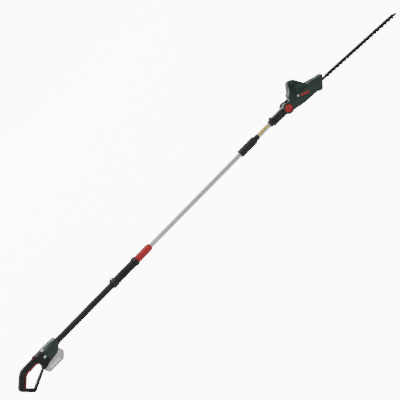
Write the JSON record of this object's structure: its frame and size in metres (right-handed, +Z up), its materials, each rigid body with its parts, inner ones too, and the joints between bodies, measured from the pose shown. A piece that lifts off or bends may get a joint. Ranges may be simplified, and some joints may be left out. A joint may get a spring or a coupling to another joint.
{
  "type": "telescoping pole hedge trimmer",
  "caption": "Cordless hedge trimmer on a telescoping pole, with a tilting double-sided cutter head, D-handle and strap eyelet.",
  "frame": {"origin": "bottom centre of the whole tool at full extension", "axes": "+X along the pole from the handle to the blades, +Z up, +Y to the left"},
  "size_m": [2.6106, 0.072, 0.1865],
  "materials": {
    "green_shell": "moulded glass-filled nylon, fine texture",
    "black_plastic": "moulded, satin",
    "soft_black": "soft overmould",
    "red_plastic": "moulded, satin gloss",
    "red_soft": "soft inlay",
    "light_print": "inlaid plate",
    "black_tube": "powder-coated aluminium",
    "bare_aluminium": "anodised, satin",
    "yellow_film": "film",
    "natural_nylon": "moulded",
    "coupling_black": "moulded",
    "board": "printed circuit board",
    "screw_steel": "blackened",
    "spring_steel": "drawn wire",
    "machined_steel": "machined",
    "cast_alloy": "die cast",
    "blade_steel": "hardened, blackened",
    "battery_shell": "pale translucent moulding",
    "cell_wrap": "shrink film"
  },
  "bodies": {
    "rear_unit": {"rear_shell_left": "green_shell", "rear_shell_right": "green_shell", "soft_grip": "soft_black", "grip_inlay": "red_soft", "side_badges": "light_print", "housing_screws": "screw_steel", "trigger_switch": "coupling_black", "controller_board": "board", "battery_terminals": "coupling_black", "trigger_spring": "spring_steel", "lock_off_spring": "spring_steel", "outer_tube": "black_tube", "strap_collar": "black_plastic", "front_grip": "soft_black", "clamp_body": "black_plastic", "clamp_collet": "natural_nylon"},
    "trigger_lever": {"trigger": "red_plastic"},
    "lock_off": {"lock_off_button": "red_plastic"},
    "battery_pack": {"battery_case": "battery_shell", "battery_cells": "cell_wrap"},
    "battery_latch": {"battery_release": "red_plastic"},
    "twist_sleeve": {"clamp_sleeve": "red_plastic"},
    "inner_pole": {"inner_tube": "bare_aluminium", "glide_bush": "natural_nylon", "coupling_socket": "coupling_black", "connector_socket": "natural_nylon"},
    "union_nut": {"coupling_nut": "black_plastic"},
    "head_pole": {"head_tube": "bare_aluminium", "tube_collar": "black_plastic", "tube_band": "yellow_film", "connector_plug": "natural_nylon", "neck_shell_left": "black_plastic", "neck_shell_right": "black_plastic", "neck_screws": "screw_steel", "lock_rings": "machined_steel"},
    "cutter_head": {"tilt_pin": "machined_steel", "head_shell_left": "green_shell", "head_shell_right": "green_shell", "head_screws": "screw_steel", "head_badge": "red_plastic", "head_dot": "light_print", "gearbox_housing": "cast_alloy", "base_plate": "machined_steel", "gearbox_screws": "screw_steel", "gear_bearings": "machined_steel", "motor_can": "machined_steel", "motor_cap": "coupling_black", "blade_spine": "cast_alloy", "blade_bolts": "blade_steel", "tilt_spring_left": "spring_steel", "tilt_spring_right": "spring_steel"},
    "tilt_lock_left": {"tilt_button_left": "red_plastic"},
    "tilt_lock_right": {"tilt_button_right": "red_plastic"},
    "crank_gear": {"drive_gear": "machined_steel"},
    "armature": {"motor_rotor": "machined_steel", "motor_fan": "natural_nylon", "pinion": "machined_steel"},
    "blade_upper": {"upper_blade": "blade_steel"},
    "blade_lower": {"lower_blade": "blade_steel"}
  },
  "joints": [
    {"name": "trigger_squeeze", "type": "hinge", "parent": "rear_unit", "child": "trigger_lever", "pos_m": [-1.15733, 0, 0.10039], "axis": [0, 1, 0], "range_deg": [0, 7], "stiffness_Nm_per_rad": 0.6, "springref_deg": -3.44, "deforming": ["trigger_spring"]},
    {"name": "lock_off_press", "type": "slide", "parent": "rear_unit", "child": "lock_off", "axis": [0, 0, -1], "range_m": [0, 0.004], "stiffness_N_per_m": 500, "springref_m": -0.002, "deforming": ["lock_off_spring"]},
    {"name": "battery_slide", "type": "slide", "parent": "rear_unit", "child": "battery_pack", "axis": [1, 0, 0], "range_m": [0, 0.09]},
    {"name": "battery_release_press", "type": "slide", "parent": "battery_pack", "child": "battery_latch", "axis": [0, 0, -1], "range_m": [0, 0.003], "stiffness_N_per_m": 600, "springref_m": -0.002},
    {"name": "clamp_twist", "type": "hinge", "parent": "rear_unit", "child": "twist_sleeve", "pos_m": [-0.45933, 0, 0.09939], "axis": [1, 0, 0], "range_deg": [0, 120]},
    {"name": "telescope", "type": "slide", "parent": "rear_unit", "child": "inner_pole", "axis": [1, 0, 0], "range_m": [-0.5, 0]},
    {"name": "union_nut_turn", "type": "hinge", "parent": "inner_pole", "child": "union_nut", "pos_m": [0.26067, 0, 0.09939], "axis": [1, 0, 0], "range_deg": [0, 180]},
    {"name": "head_pull_off", "type": "slide", "parent": "inner_pole", "child": "head_pole", "axis": [1, 0, 0], "range_m": [0, 0.07]},
    {"name": "head_tilt", "type": "hinge", "parent": "head_pole", "child": "cutter_head", "pos_m": [0.58467, 0, 0.09639], "axis": [0, 1, 0], "range_deg": [-54, 90]},
    {"name": "tilt_lock_left_press", "type": "slide", "parent": "cutter_head", "child": "tilt_lock_left", "axis": [0, -1, 0], "range_m": [0, 0.004], "stiffness_N_per_m": 1200, "springref_m": -0.002, "deforming": ["tilt_spring_left"]},
    {"name": "tilt_lock_right_press", "type": "slide", "parent": "cutter_head", "child": "tilt_lock_right", "axis": [0, 1, 0], "range_m": [0, 0.004], "stiffness_N_per_m": 1200, "springref_m": -0.002, "deforming": ["tilt_spring_right"]},
    {"name": "gear_turn", "type": "hinge", "parent": "cutter_head", "child": "crank_gear", "pos_m": [0.70294, 0, 0.08895], "axis": [0.0628, 0, 0.998], "range_deg": [-90, 90]},
    {"name": "armature_turn", "type": "hinge", "parent": "cutter_head", "child": "armature", "pos_m": [0.6725, 0, 0.09086], "axis": [0.0628, 0, 0.998], "range_deg": [-333, 333]},
    {"name": "upper_blade_stroke", "type": "slide", "parent": "cutter_head", "child": "blade_upper", "axis": [0.998, 0, -0.0628], "range_m": [-0.0057, 0.0057]},
    {"name": "lower_blade_stroke", "type": "slide", "parent": "cutter_head", "child": "blade_lower", "axis": [0.998, 0, -0.0628], "range_m": [-0.0057, 0.0057]}
  ],
  "couplings": [
    {"joint": "armature_turn", "follows": "gear_turn", "ratio": -3.6923},
    {"joint": "upper_blade_stroke", "follows": "gear_turn", "m_per_rad": -0.0035969},
    {"joint": "lower_blade_stroke", "follows": "gear_turn", "m_per_rad": 0.0035969}
  ]
}
